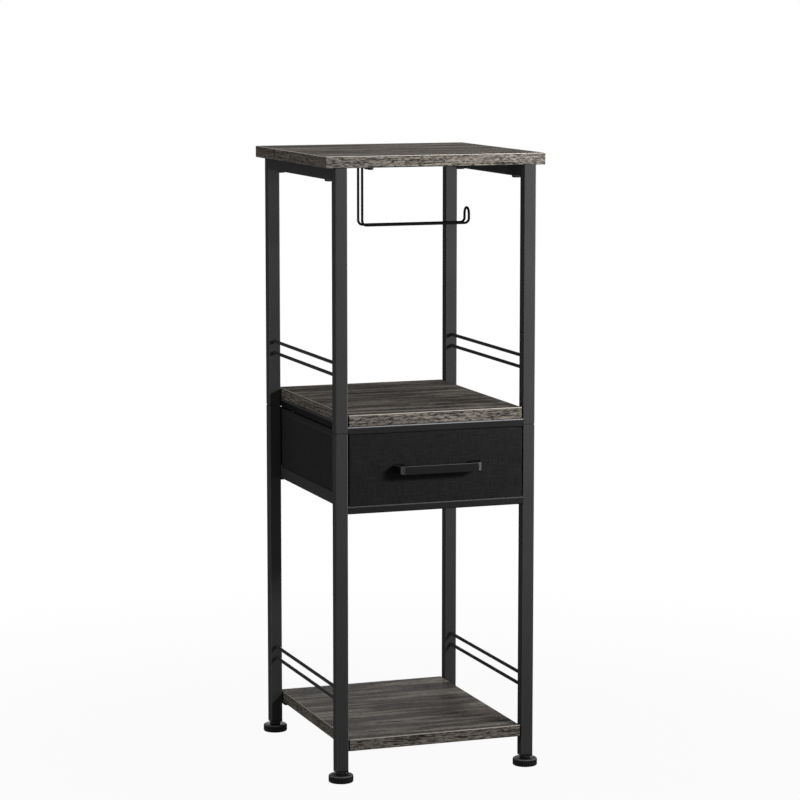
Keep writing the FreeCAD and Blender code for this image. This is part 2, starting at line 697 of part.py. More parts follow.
def main():
    parts = {}
    frame_parts(parts)
    board_parts(parts)
    holder_parts(parts)
    drawer_parts(parts)
    foot_parts(parts)
    os.makedirs("parts", exist_ok=True)
    for name, shape in parts.items():
        if not shape.isValid():
            raise RuntimeError(f"{name} is not a valid shape")
        shape.exportStep(os.path.join("parts", f"{name}.step"))
    print(f"{len(parts)} nodes, {sum(len(shape.Solids) for shape in parts.values())} solids")


main()
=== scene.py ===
import json
import math
from functools import partial

import bpy
import numpy as np
from bpy.props import FloatProperty, FloatVectorProperty, PointerProperty
from mathutils import Euler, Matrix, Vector


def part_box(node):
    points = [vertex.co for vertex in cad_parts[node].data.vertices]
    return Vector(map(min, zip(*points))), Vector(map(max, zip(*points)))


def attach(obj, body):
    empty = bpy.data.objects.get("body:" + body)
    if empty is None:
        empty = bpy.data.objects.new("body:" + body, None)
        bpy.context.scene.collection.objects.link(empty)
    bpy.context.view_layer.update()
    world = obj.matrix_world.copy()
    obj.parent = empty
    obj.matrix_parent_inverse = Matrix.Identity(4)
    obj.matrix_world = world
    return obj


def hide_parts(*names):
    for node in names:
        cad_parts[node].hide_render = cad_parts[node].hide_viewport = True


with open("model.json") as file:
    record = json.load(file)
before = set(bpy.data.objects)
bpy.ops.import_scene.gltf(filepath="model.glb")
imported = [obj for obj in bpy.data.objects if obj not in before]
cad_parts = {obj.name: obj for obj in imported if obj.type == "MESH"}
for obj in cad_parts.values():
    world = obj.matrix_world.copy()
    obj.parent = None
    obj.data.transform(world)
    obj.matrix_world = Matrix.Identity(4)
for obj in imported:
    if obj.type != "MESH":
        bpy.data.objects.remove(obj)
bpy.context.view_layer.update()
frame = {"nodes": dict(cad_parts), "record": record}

bl_info = {
    "name": "Bathroom stand dressing",
    "version": (1, 0, 0),
    "blender": (4, 5, 0),
    "location": "3D View > Sidebar > Stand",
    "description": "Finishes, sewn drawer, screws, threads and studio stage for the slim bathroom stand",
    "category": "Object",
}

MM = 0.001
UP = (0.0, 0.0, 1.0)
WHITE = (1.0, 1.0, 1.0, 1.0)
NODES = frame["nodes"]
BODY_OF = {node: body for body, nodes in frame["record"]["behaviour"]["bodies"].items() for node in nodes}
SLOT_OF = {row["node"]: row["material_slot"] for row in frame["record"]["subparts"]}

# Angles of a quarter turn, for every rounded edge
QUARTER_TURN = np.linspace(0.0, math.pi / 2, 7)

# A face lies square to an axis when more than this share of its normal is along it
SQUARE = 0.72

# Height of each screw's head and radius of its shank, mm
SCREWS = {
    "top_board_screws": (3.0, 2.0),
    "middle_shelf_screws": (1.6, 1.75),
    "bottom_shelf_screws": (1.6, 1.75),
    "paper_holder_screws": (4.5, 1.75),
    "handle_screws": (2.8, 2.0),
}

# Place of each lamp, the point that it faces, and its width and height, m
LAMPS = {
    "key_lamp": ((0.75, -0.95, 0.8), (0.0, 0.0, 1.6), (0.36, 0.26)),
    "top_lamp": ((0.1, -0.1, 2.0), (0.0, 0.0, 0.8), (0.9, 0.7)),
    "left_strip": ((-1.8, -0.35, 0.45), (0.0, 0.0, 0.4), (0.3, 0.55)),
    "right_strip": ((1.4, -0.95, 0.3), (0.0, 0.0, 0.4), (0.3, 0.55)),
    "rear_strip": ((0.5, 1.7, 0.2), (0.0, 0.0, 0.4), (0.6, 0.3)),
}


# Settings

def linear(hex_colour):
    """Linear RGB of an sRGB hex colour: the low part is divided, the rest follows the 2.4 power curve."""
    srgb = np.array([int(hex_colour[i:i + 2], 16) for i in (0, 2, 4)]) / 255.0
    return tuple(np.where(srgb <= 0.04045, srgb / 12.92, ((srgb + 0.055) / 1.055) ** 2.4))


def colour(name, description, hex_colour):
    """Colour property with an sRGB hex default."""
    return FloatVectorProperty(name=name, description=description, subtype="COLOR", size=3, min=0.0, max=1.0,
                               default=linear(hex_colour))


def length(name, description, millimetres):
    """Length property with a default in millimetres."""
    return FloatProperty(name=name, description=description, unit="LENGTH", min=0.0, precision=5,
                         default=millimetres * MM)


def spot(name, description, millimetres):
    """Property for the length, width and depth of a pattern's spots, with a default in millimetres."""
    return FloatVectorProperty(name=name, description=description, subtype="XYZ", unit="LENGTH", size=3,
                               min=0.0, precision=5, default=tuple(side * MM for side in millimetres))


def power(name, description, watts):
    """Lamp power property with a default in watts."""
    return FloatProperty(name=name, description=description, unit="POWER", min=0.0, default=watts)


class FrameFinish(bpy.types.PropertyGroup):
    """Black powder coat of tubes, rods and wire"""

    coat: colour("Coat", "Colour of the legs' powder coat", "353535")
    # Painted shade: a darker copy of the legs' coat, for the rails
    shaded_rail_coat: colour("Rail coat", "Colour of the coat on the drawer's rails", "222223")
    # The holder's wire has this colour of its own; on the shelf's bearers it is painted shade, a darker copy
    # of the legs' coat
    wire_and_shaded_bearer_coat: colour("Wire coat", "Colour of the thin coat on the holder's wire and the bearers", "131314")
    # Painted highlight on eased edges, standing for light caught by their rounding
    painted_highlight: colour("Rubbed edge", "Coat on eased edges, where handling has polished it", "4E4E4E")
    # Painted highlight on the upper edges of the rails under the shelf
    painted_rail_highlight: colour("Rubbed rail edge", "Coat on the upper edges of the rails under the shelf", "7E7E7F")
    grit: length("Grit", "Width of the coat's orange-peel grain", 0.9)
    grit_depth: length("Grit depth", "Height of the coat's grain", 0.03)
    cloud: length("Cloud", "Width of the coat's slow changes of tone", 60.0)


class BoardFinish(bpy.types.PropertyGroup):
    """Wood-grain laminate of the boards and their edge bands"""

    face_dark: colour("Face, dark grain", "Dark grain of the boards' faces", "1C1A18")
    face_light: colour("Face, light grain", "Light grain of the boards' faces", "8A837C")
    edge_dark: colour("Edge, dark grain", "Dark streaks of the edge bands", "1F1D1B")
    edge_light: colour("Edge, light grain", "Light streaks of the edge bands", "7B756E")
    # Scraped edge band and painted highlight: only upward-leaning corners take this colour
    arris_scrape_and_highlight: colour("Arris", "Scraped corner between face and edge band", "C0B9B1")
    pore: colour("Pores", "Open pores, cracks and knots", "171413")
    line_size: spot("Grain line", "Length, width and depth of a grain line", (60.0, 2.0, 9.0))
    fleck_size: spot("Fleck", "Length, width and depth of a short fleck", (6.0, 1.1, 4.0))
    pore_size: spot("Pore", "Length, width and depth of an open pore", (8.0, 1.2, 5.0))
    streak_size: spot("Streak", "Length, width and depth of a broad streak of the faces", (190.0, 15.0, 25.0))
    crack_size: spot("Crack", "Length, width and depth of a dark crack", (70.0, 4.5, 20.0))
    knot_size: spot("Knot", "Distance between knots along, across and into the board", (170.0, 95.0, 70.0))
    wave_size: spot("Wave", "Length, width and depth of the grain's slow wave", (150.0, 38.0, 30.0))
    sway: length("Sway", "Reach of the grain's slow wave", 18.0)
    bulge: length("Knot bulge", "Reach of the grain's bend round a knot", 8.0)
    relief: length("Relief", "Depth of the pressed grain", 0.12)


class DrawerFinish(bpy.types.PropertyGroup):
    """Sewn fabric and boards of the drawer"""

    thread_dark: colour("Thread, dark", "Dark threads of the fabric", "181818")
    thread_light: colour("Thread, light", "Light threads of the fabric", "202020")
    binding: colour("Binding", "Tape sewn over the walls' upper edge", "141415")
    stitch: colour("Stitches", "Sewing thread", "2E2E30")
    fibreboard: colour("Fibreboard", "Raw fibreboard of the stiffening boards", "8A6A48")
    cloth: length("Cloth", "Thickness of the front cover's fabric", 1.0)
    rounding: length("Edge rounding", "Radius of the front cover's outer edges", 1.8)
    thread: length("Thread spacing", "Distance between threads", 0.9)
    thread_height: length("Thread height", "Height of the weave", 0.12)
    slub: length("Slub length", "Length of a thick place in a thread", 16.0)
    slub_width: length("Slub width", "Width of a thick place in a thread", 1.5)
    corner: length("Corner", "Radius of the box's upright corners", 4.0)
    bow: length("Wall bow", "Reach by which the walls bow inwards", 0.35)
    binding_height: length("Binding height", "Height of the tape on each side", 9.0)
    binding_thickness: length("Binding thickness", "Thickness of the tape", 0.45)
    stitch_pitch: length("Stitch pitch", "Distance between stitches", 4.0)
    stitch_length: length("Stitch length", "Visible length of a stitch", 2.9)
    stitch_radius: length("Stitch radius", "Radius of the sewing thread", 0.28)
    stitch_rise: length("Stitch rise", "Height of the seam above the tape's lower edge", 2.2)
    sag: length("Floor sag", "Hang of the fabric floor between the runners", 1.2)


class FittingFinish(bpy.types.PropertyGroup):
    """Handle, feet, screws and studs"""

    lacquer: colour("Lacquer", "Colour of the handle", "080809")
    # Painted highlight on the handle's bends and upper edges
    painted_lacquer_highlight: colour("Rubbed lacquer", "Lacquer on the handle's bends and upper edges", "414143")
    plastic: colour("Plastic", "Colour of the feet and plugs", "171718")
    # Painted highlight on the upward-sloping rim of the feet
    rim: colour("Plastic rim", "Scuffed upper rim of the feet", "555557")
    zinc: colour("Zinc", "Colour of plated screws and studs", "B8BABD")
    oxide: colour("Black oxide", "Colour of the black screws", "1A1A1B")
    pitch: length("Thread pitch", "Pitch of the foot studs' thread", 1.25)
    thread_depth: length("Thread depth", "Depth of the foot studs' thread", 0.6)
    point: length("Stud point", "Length of the taper at a foot stud's tip", 1.0)
    recess_width: length("Recess width", "Width of a wing of a screw's cross recess", 1.1)
    recess_depth: length("Recess depth", "Depth of a screw's cross recess", 1.3)
    rib_pitch: length("Rib pitch", "Distance between the ribs round a foot", 2.8)
    rib_depth: length("Rib depth", "Depth of the grooves between these ribs", 0.7)


class StageSettings(bpy.types.PropertyGroup):
    """Camera, lamps and floor"""

    camera_place: FloatVectorProperty(name="Camera", description="Place of the camera", subtype="TRANSLATION",
                                      unit="LENGTH", size=3, default=(-1.2834, -3.6024, 0.9881))
    camera_yaw: FloatProperty(name="Yaw", description="Turn of the camera to the right", subtype="ANGLE",
                              default=math.radians(19.63))
    camera_pitch: FloatProperty(name="Pitch", description="Tilt of the camera downwards", subtype="ANGLE",
                                default=math.radians(7.71))
    lens: FloatProperty(name="Lens", description="Focal length on a 36 mm sensor, mm", default=131.73)
    floor: colour("Floor", "Colour of the floor's matte share", "808080")
    key_lamp: power("Key lamp", "Power of the front right lamp", 33.0)
    top_lamp: power("Top lamp", "Power of the lamp overhead", 10.0)
    left_strip: power("Left strip", "Power of the strip lamp at the left", 8.0)
    right_strip: power("Right strip", "Power of the strip lamp at the right", 6.0)
    rear_strip: power("Rear strip", "Power of the strip lamp behind the stand", 8.0)
    ambient: FloatProperty(name="Ambient", description="Light from all round", default=0.21)


class StandSettings(bpy.types.PropertyGroup):
    """Everything a user would change on the stand"""

    frame_finish: PointerProperty(type=FrameFinish)
    board_finish: PointerProperty(type=BoardFinish)
    drawer_finish: PointerProperty(type=DrawerFinish)
    fitting_finish: PointerProperty(type=FittingFinish)
    stage: PointerProperty(type=StageSettings)


def settings():
    """The property groups on the scene."""
    return bpy.context.scene.bathroom_stand


# Materials

def add_node(tree, kind, inputs=(), **attributes):
    """Adds a shader node of this kind and sets its attributes.

    Each named or numbered input gets a value, a link, or a link from another node's first output.
    """
    node = tree.nodes.new(f"ShaderNode{kind}")
    for name, value in attributes.items():
        setattr(node, name, value)
    for name, value in dict(inputs).items():
        if isinstance(value, bpy.types.Node):
            value = value.outputs[0]
        if isinstance(value, bpy.types.NodeSocket):
            tree.links.new(value, node.inputs[name])
        else:
            node.inputs[name].default_value = value
    return node


def new_finish(name):
    """Empty material, the adder of its nodes, and the outputs with the object's own place and normal."""
    material = bpy.data.materials.new(name)
    material.use_nodes = True
    material.node_tree.nodes.clear()
    add = partial(add_node, material.node_tree)
    return material, add, add("TexCoord").outputs


def close_finish(material, shader):
    """Joins a shader to the material's output and returns the material."""
    add_node(material.node_tree, "OutputMaterial", {"Surface": shader})
    return material


def rgba(colour_value):
    """Colour with full alpha."""
    return (*colour_value, 1.0)


def per_mm(millimetres):
    """Texture scale on coordinates in metres that fits one unit of a pattern into this many millimetres."""
    return 1.0 / (millimetres * MM)


def scaled(add, place, size):
    """Coordinates on which a spot of this length, width and depth in metres is one unit each way."""
    return add("VectorMath", {0: place, 1: tuple(1.0 / side for side in size)}, operation="MULTIPLY")


def stretched(add, place, size, detail, low, high):
    """Noise whose spots have this size in metres, spread so that low to high fills nought to one."""
    noise = add("TexNoise", {"Vector": scaled(add, place, size), "Scale": 1.0, "Detail": detail})
    return add("MapRange", {"Value": noise, "From Min": low, "From Max": high})


def speckled(add, where, width, detail, low, high):
    """Noise of this width in metres at the object's own place, and the same noise spread from low to high."""
    noise = add("TexNoise", {"Vector": where["Object"], "Scale": 1.0 / width, "Detail": detail})
    return noise, add("MapRange", {"Value": noise, "To Min": low, "To Max": high})


def weighted(add, parts):
    """Sum of values, each times its share."""
    total = 0.0
    for value, share in parts:
        total = add("Math", {0: value, 1: share, 2: total}, operation="MULTIPLY_ADD")
    return total


def tinted(add, share, first, second):
    """First colour, turned into the second by a share; each colour is a value or a link."""
    first, second = (c if isinstance(c, bpy.types.NodeSocket) else rgba(c) for c in (first, second))
    return add("Mix", {0: share, 6: first, 7: second}, data_type="RGBA").outputs[2]


def toned(add, colour_value, tone):
    """Colour times a tone."""
    mix = add("Mix", {0: 1.0, 6: rgba(colour_value), 7: tone}, data_type="RGBA", blend_type="MULTIPLY")
    return mix.outputs[2]


def normal_shares(add, where):
    """Size of the normal along each axis."""
    size = add("VectorMath", {0: where["Normal"]}, operation="ABSOLUTE")
    return add("SeparateXYZ", {"Vector": size}).outputs


def flat_coordinates(add, where):
    """Coordinates along and across each flat face of a box, with the depth of the face as a third value.

    Upper and lower faces run along X and across Y, front and back along X and across Z, and sides along Y and
    across Z. Returns them with a value that is one on upper and lower faces and nought on the others.
    """
    at = add("SeparateXYZ", {"Vector": where["Object"]}).outputs
    shares = normal_shares(add, where)
    is_side = add("Math", {0: shares["X"], 1: SQUARE}, operation="GREATER_THAN")
    is_level = add("Math", {0: shares["Z"], 1: SQUARE}, operation="GREATER_THAN")
    along = add("Mix", {0: is_side, 2: at["X"], 3: at["Y"]})
    across = add("Mix", {0: is_level, 2: at["Z"], 3: at["Y"]})
    depth = add("Mix", {0: is_side, 2: at["Y"], 3: at["X"]})
    depth = add("Mix", {0: is_level, 2: depth, 3: at["Z"]})
    return add("CombineXYZ", {"X": along, "Y": across, "Z": depth}), is_level


def leaning(add, where, lean, either_way):
    """One where the normal rises by the lean, give or take a range, and nought elsewhere."""
    facing = add("SeparateXYZ", {"Vector": where["Normal"]}).outputs
    return add("Math", {0: facing["Z"], 1: lean, 2: either_way}, operation="COMPARE")


def eased_edges(add, where, lean, either_way):
    """One on rounded and chamfered edges, where no axis holds most of the normal, and nought on flat faces.

    Of these it keeps the edges whose normal rises by the lean, give or take a range.
    """
    shares = normal_shares(add, where)
    level = add("Math", {0: shares["X"], 1: shares["Y"]}, operation="MAXIMUM")
    most = add("Math", {0: level, 1: shares["Z"]}, operation="MAXIMUM")
    eased = add("MapRange", {"Value": most, "From Min": 0.88, "From Max": 0.98, "To Min": 1.0, "To Max": 0.0})
    kept = leaning(add, where, lean, either_way)
    return add("Math", {0: eased, 1: kept}, operation="MULTIPLY")


def powder_coated_steel(finish, name, coat, painted_highlight=None, lean=0.0):
    """Polyester powder baked on steel: deep matte black, with a fine grain that softens every reflection.

    Eased edges with the given lean take a paler colour, a painted highlight: upright ones on the legs, upper
    ones on the rails. The grain is drawn 0.9 mm wide, about twice as coarse as the real one, so that it
    shows.
    """
    material, add, where = new_finish(name)
    grit, rough = speckled(add, where, finish.grit, detail=2.0, low=0.42, high=0.54)
    tone = speckled(add, where, finish.cloud, detail=3.0, low=0.85, high=1.15)[1]
    base = toned(add, coat, tone)
    # Painted highlight: eased edges that lean this way take the paler colour
    if painted_highlight is not None:
        base = tinted(add, eased_edges(add, where, lean, either_way=0.5), base, painted_highlight)
    bump = add("Bump", {"Height": grit, "Strength": 0.35, "Distance": finish.grit_depth})
    return close_finish(material, add("BsdfPrincipled", {
        "Base Color": base, "Roughness": rough, "Normal": bump, "IOR": 1.5, "Specular IOR Level": 0.002}))


def charcoal_oak_melamine(finish):
    """Printed oak melamine with pressed grain: dull charcoal faces, paler banded edges and open dark pores.

    The grain runs from left to right on the faces and along each edge band. A slow wave and the nearness of a
    knot bend its lines, and do so much less on the bands. Fine lines, short flecks and broad streaks are
    summed for the tone, and thresholded noise makes the pores and cracks. The upper corner of a band is pale
    from scraping and from a painted highlight; its lower corner is dark, a glue line with painted shade; and
    the joint of two bands is a dark glue line. Flecks and pores are drawn about twice as wide as the real
    ones, so that they show.
    """
    material, add, where = new_finish("charcoal_oak_melamine")
    flat, is_level = flat_coordinates(add, where)
    wave = stretched(add, flat, finish.wave_size, detail=2.0, low=0.0, high=1.0)
    knots = add("TexVoronoi", {"Vector": scaled(add, flat, finish.knot_size), "Scale": 1.0})
    distance = knots.outputs["Distance"]
    bulge = add("MapRange", {"Value": distance, "From Max": 0.38, "To Min": finish.bulge, "To Max": 0.0},
                interpolation_type="SMOOTHSTEP")
    swing = add("Math", {0: wave, 1: finish.sway, 2: bulge}, operation="MULTIPLY_ADD")
    freedom = add("MapRange", {"Value": is_level, "To Min": 0.1, "To Max": 1.0})
    swing = add("Math", {0: swing, 1: freedom}, operation="MULTIPLY")
    shift = add("CombineXYZ", {"Y": swing})
    bent = add("VectorMath", {0: flat, 1: shift}, operation="ADD")

    lines = stretched(add, bent, finish.line_size, detail=4.0, low=0.39, high=0.61)
    flecks = stretched(add, bent, finish.fleck_size, detail=2.0, low=0.44, high=0.56)
    streaks = stretched(add, bent, finish.streak_size, detail=4.0, low=0.46, high=0.60)
    pores = stretched(add, bent, finish.pore_size, detail=1.0, low=0.59, high=0.65)
    cracks = stretched(add, bent, finish.crack_size, detail=3.0, low=0.57, high=0.67)
    knot = add("MapRange", {
        "Value": distance, "From Min": 0.03, "From Max": 0.15, "To Min": 0.85, "To Max": 0.0},
        interpolation_type="SMOOTHSTEP")
    face_tone = weighted(add, ((lines, 0.24), (flecks, 0.20), (streaks, 0.56)))
    face = tinted(add, face_tone, finish.face_dark, finish.face_light)
    dark_spots = add("Math", {0: knot, 1: cracks}, operation="MAXIMUM")
    face = tinted(add, dark_spots, face, finish.pore)
    band_tone = weighted(add, ((lines, 0.45), (flecks, 0.55)))
    band = tinted(add, band_tone, finish.edge_dark, finish.edge_light)

    facing = add("SeparateXYZ", {"Vector": where["Normal"]}).outputs
    corner = add("Math", {0: facing["X"], 1: facing["Y"]}, operation="MULTIPLY")
    corner = add("Math", {0: corner}, operation="ABSOLUTE")
    seam = add("MapRange", {"Value": corner, "From Min": 0.2, "From Max": 0.4})
    wood = tinted(add, is_level, band, face)
    # Upward-leaning corners: scraped edge band and painted highlight
    scraped_and_highlit = leaning(add, where, lean=0.55, either_way=0.4)
    # Downward-leaning corners: dark glue line and painted shade
    glued_and_shaded = leaning(add, where, lean=-0.55, either_way=0.4)
    for mark, share, tint in ((pores, 0.85, finish.pore), (seam, 0.7, finish.pore),
                              (scraped_and_highlit, 0.8, finish.arris_scrape_and_highlight), (glued_and_shaded, 0.85, finish.pore)):
        wood = tinted(add, weighted(add, ((mark, share),)), wood, tint)
    rough = add("MapRange", {"Value": lines, "To Min": 0.6, "To Max": 0.78})
    relief = add("Math", {0: lines, 1: pores}, operation="SUBTRACT")
    bump = add("Bump", {"Height": relief, "Strength": 0.4, "Distance": finish.relief})
    return close_finish(material, add("BsdfPrincipled", {
        "Base Color": wood, "Roughness": rough, "Normal": bump, "IOR": 1.5, "Specular IOR Level": 0.01}))


def slub_weave(finish, name):
    """Plain-weave polyester with uneven threads: soft and lightless, with faint crossing streaks.

    A product of two sines makes the over and under of the weave, and noise stretched along each thread makes
    slubs. The threads are drawn 0.9 mm apart, about twice the real distance, so that they show.
    """
    material, add, where = new_finish(name)
    flat = flat_coordinates(add, where)[0]
    parts = add("SeparateXYZ", {"Vector": flat}).outputs
    slub_depth = 20.0 * MM
    sines, streaks = [], []
    for axis, size in (("X", (finish.slub, finish.slub_width, slub_depth)),
                       ("Y", (finish.slub_width, finish.slub, slub_depth))):
        angle = add("Math", {0: parts[axis], 1: math.pi / finish.thread}, operation="MULTIPLY")
        sines.append(add("Math", {0: angle}, operation="SINE"))
        streaks.append(add("TexNoise", {"Vector": scaled(add, flat, size), "Scale": 1.0, "Detail": 2.0}))
    weave = add("Math", {0: sines[0], 1: sines[1]}, operation="MULTIPLY")
    slubs = add("Math", {0: streaks[0], 1: streaks[1]}, operation="ADD")
    tone = add("MapRange", {"Value": slubs, "From Min": 0.78, "From Max": 1.22})
    fine = add("MapRange", {"Value": weave, "From Min": -1.0, "To Min": -0.15, "To Max": 0.15})
    mixed = add("Math", {0: tone, 1: fine}, operation="ADD")
    base = tinted(add, mixed, finish.thread_dark, finish.thread_light)
    height = add("Math", {0: weave, 1: slubs}, operation="ADD")
    bump = add("Bump", {"Height": height, "Strength": 0.5, "Distance": finish.thread_height})
    return close_finish(material, add("BsdfPrincipled", {
        "Base Color": base, "Roughness": 0.88, "Normal": bump, "IOR": 1.5, "Specular IOR Level": 0.02,
        "Sheen Weight": 0.02, "Sheen Roughness": 0.5}))


def woven_binding(finish):
    """Woven polyester tape: ribs that catch a little light, drawn 1.9 mm apart, coarser than real ones."""
    material, add, where = new_finish("woven_binding")
    ribs = add("TexWave", {"Vector": where["Object"], "Scale": per_mm(6.0), "Distortion": 0.6}).outputs[1]
    base = tinted(add, ribs, finish.binding, finish.thread_light)
    bump = add("Bump", {"Height": ribs, "Strength": 0.4, "Distance": 0.1 * MM})
    return close_finish(material, add("BsdfPrincipled", {
        "Base Color": base, "Roughness": 0.8, "Normal": bump, "Specular IOR Level": 0.02}))


def sewing_thread(finish):
    """Twisted polyester thread: a little shinier than the cloth, its twist drawn 0.8 mm apart, to show."""
    material, add, where = new_finish("sewing_thread")
    twist = add("TexWave", {"Vector": where["Object"], "Scale": per_mm(2.5)}, bands_direction="DIAGONAL")
    rough = add("MapRange", {"Value": twist.outputs[1], "To Min": 0.5, "To Max": 0.75})
    return close_finish(material, add("BsdfPrincipled", {
        "Base Color": rgba(finish.stitch), "Roughness": rough, "Specular IOR Level": 0.1}))


def raw_fibreboard(finish):
    """Pressed wood fibre: flat brown, flecked with paler and darker fibres, with no shine."""
    material, add, where = new_finish("raw_fibreboard")
    fibres = add("TexNoise", {
        "Vector": where["Object"], "Scale": per_mm(2.2), "Detail": 6.0, "Roughness": 0.7})
    tone = add("MapRange", {"Value": fibres, "From Min": 0.3, "From Max": 0.7, "To Min": 0.6, "To Max": 1.25})
    bump = add("Bump", {"Height": fibres, "Strength": 0.3, "Distance": 0.1 * MM})
    return close_finish(material, add("BsdfPrincipled", {
        "Base Color": toned(add, finish.fibreboard, tone), "Roughness": 0.85, "Normal": bump,
        "Specular IOR Level": 0.15}))


def satin_lacquer(finish):
    """Sprayed satin lacquer on cast metal: smooth black with clear soft highlights on its bends.

    The bends and upper edges also take a paler colour, a painted highlight.
    """
    material, add, where = new_finish("satin_black_lacquer")
    peel, rough = speckled(add, where, 1.8 * MM, detail=2.0, low=0.24, high=0.34)
    bump = add("Bump", {"Height": peel, "Strength": 0.12, "Distance": 0.04 * MM})
    # Painted highlight: bends and upper edges take the paler lacquer
    highlight_edges = eased_edges(add, where, lean=0.3, either_way=0.6)
    base = tinted(add, highlight_edges, finish.lacquer, finish.painted_lacquer_highlight)
    return close_finish(material, add("BsdfPrincipled", {
        "Base Color": base, "Roughness": rough, "Normal": bump, "IOR": 1.5, "Specular IOR Level": 0.14}))


def moulded_plastic(finish):
    """Moulded polypropylene with a spark-eroded grain: dull black.

    Surfaces that slope upwards, the rounded upper rim most of all, take a paler colour, a painted highlight.
    """
    material, add, where = new_finish("moulded_black_plastic")
    grain, rough = speckled(add, where, 0.7 * MM, detail=3.0, low=0.5, high=0.62)
    bump = add("Bump", {"Height": grain, "Strength": 0.25, "Distance": 0.03 * MM})
    # Painted highlight: surfaces that slope upwards take the pale rim colour
    base = tinted(add, leaning(add, where, lean=0.6, either_way=0.35), finish.plastic, finish.rim)
    return close_finish(material, add("BsdfPrincipled", {
        "Base Color": base, "Roughness": rough, "Normal": bump, "IOR": 1.49, "Specular IOR Level": 0.05}))


def plated_steel(name, tint, metallic, low, high):
    """Plated or blackened steel: cloudy metal whose sheen changes over a few millimetres."""
    material, add, where = new_finish(name)
    rough = speckled(add, where, 3.0 * MM, detail=4.0, low=low, high=high)[1]
    return close_finish(material, add("BsdfPrincipled", {
        "Base Color": rgba(tint), "Metallic": metallic, "Roughness": rough,
        "Specular IOR Level": 0.5 if metallic else 0.1}))


def dress(nodes, material):
    """Gives CAD nodes a material in place of their plain one."""
    for name in nodes:
        slots = NODES[name].data.materials
        slots.clear()
        slots.append(material)


def nodes_in_slot(slot):
    """CAD nodes that the record gives this material slot."""
    return [name for name, named in SLOT_OF.items() if named == slot]


def nodes_named(*starts):
    """CAD nodes whose names start in one of these ways."""
    return [name for name in NODES if name.startswith(starts)]


# Meshes

def whole_turn(count):
    """Angles of a whole turn in this many even steps."""
    return 2.0 * math.pi * np.arange(count) / count


def grid_faces(rows, columns, round_columns=False):
    """Quads of a grid of points numbered row by row; round columns join the last to the first."""
    row = np.arange(rows - 1)[:, None]
    column = np.arange(columns if round_columns else columns - 1)[None, :]
    next_column = (column + 1) % columns
    corners = [row * columns + column, row * columns + next_column,
               (row + 1) * columns + next_column, (row + 1) * columns + column]
    return np.stack(np.broadcast_arrays(*corners), axis=-1).reshape(-1, 4)


def tubes(shapes):
    """Points and faces of shapes of rings: quads between the rings, and the first and last ring closed."""
    points, quads, ends, start = [], [], [], 0
    for shape in shapes:
        rows, columns = shape.shape[:2]
        ring = np.arange(columns) + start
        points.append(shape.reshape(-1, 3))
        quads.append(grid_faces(rows, columns, round_columns=True) + start)
        ends.append(np.stack((ring[::-1], ring + (rows - 1) * columns)))
        start += rows * columns
    return np.concatenate(points), [np.concatenate(quads), np.concatenate(ends)]


def make_piece(name, node, shape, material, sharp=35.0):
    """New object from points and arrays of faces, on the body and in the material slot of a CAD node."""
    points, faces = shape
    sizes = np.concatenate([np.full(len(group), group.shape[1]) for group in faces])
    corners = np.concatenate([group.ravel() for group in faces]).astype(np.int32)
    mesh = bpy.data.meshes.new(name)
    mesh.vertices.add(len(points))
    mesh.vertices.foreach_set("co", points.astype(np.float32).ravel())
    mesh.loops.add(len(corners))
    mesh.loops.foreach_set("vertex_index", corners)
    mesh.polygons.add(len(sizes))
    mesh.polygons.foreach_set("loop_start", np.concatenate(([0], np.cumsum(sizes)[:-1])).astype(np.int32))
    mesh.polygons.foreach_set("use_smooth", np.ones(len(sizes), dtype=bool))
    mesh.update(calc_edges=True)
    if mesh.validate():
        raise RuntimeError(f"{name}: the mesh had faulty faces")
    mesh.set_sharp_from_angle(angle=math.radians(sharp))
    mesh.materials.append(material)
    piece = bpy.data.objects.new(name, mesh)
    bpy.context.scene.collection.objects.link(piece)
    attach(piece, BODY_OF[node])
    return piece


def edge_spread(low, high, rounding, count):
    """Values from low to high, dense within one rounding of both ends and even between them."""
    near = rounding * (1.0 - np.cos(QUARTER_TURN))
    inner = np.linspace(low + rounding, high - rounding, count)[1:-1]
    return np.concatenate((low + near, inner, (high - near)[::-1]))


def across_middle(values, low, high):
    """Values from minus one at low to one at high."""
    return (2.0 * values - low - high) / (high - low)


def two_sheets(first, second, first_row_open):
    """Two grids of points, joined by a band of quads round their rim, which may leave out the first row."""
    rows, columns = first.shape[:2]
    count = rows * columns
    number = np.arange(count).reshape(rows, columns)
    rim = np.concatenate((number[0, :-1], number[:-1, -1], number[-1, :0:-1], number[::-1, 0]))
    if first_row_open:
        rim = rim[columns - 1:]
    band = np.stack((rim[1:], rim[1:] + count, rim[:-1] + count, rim[:-1]), axis=-1)
    sheet = grid_faces(rows, columns)
    points = np.concatenate((first.reshape(-1, 3), second.reshape(-1, 3)))
    return points, [np.concatenate((sheet, sheet[:, ::-1] + count, band))]


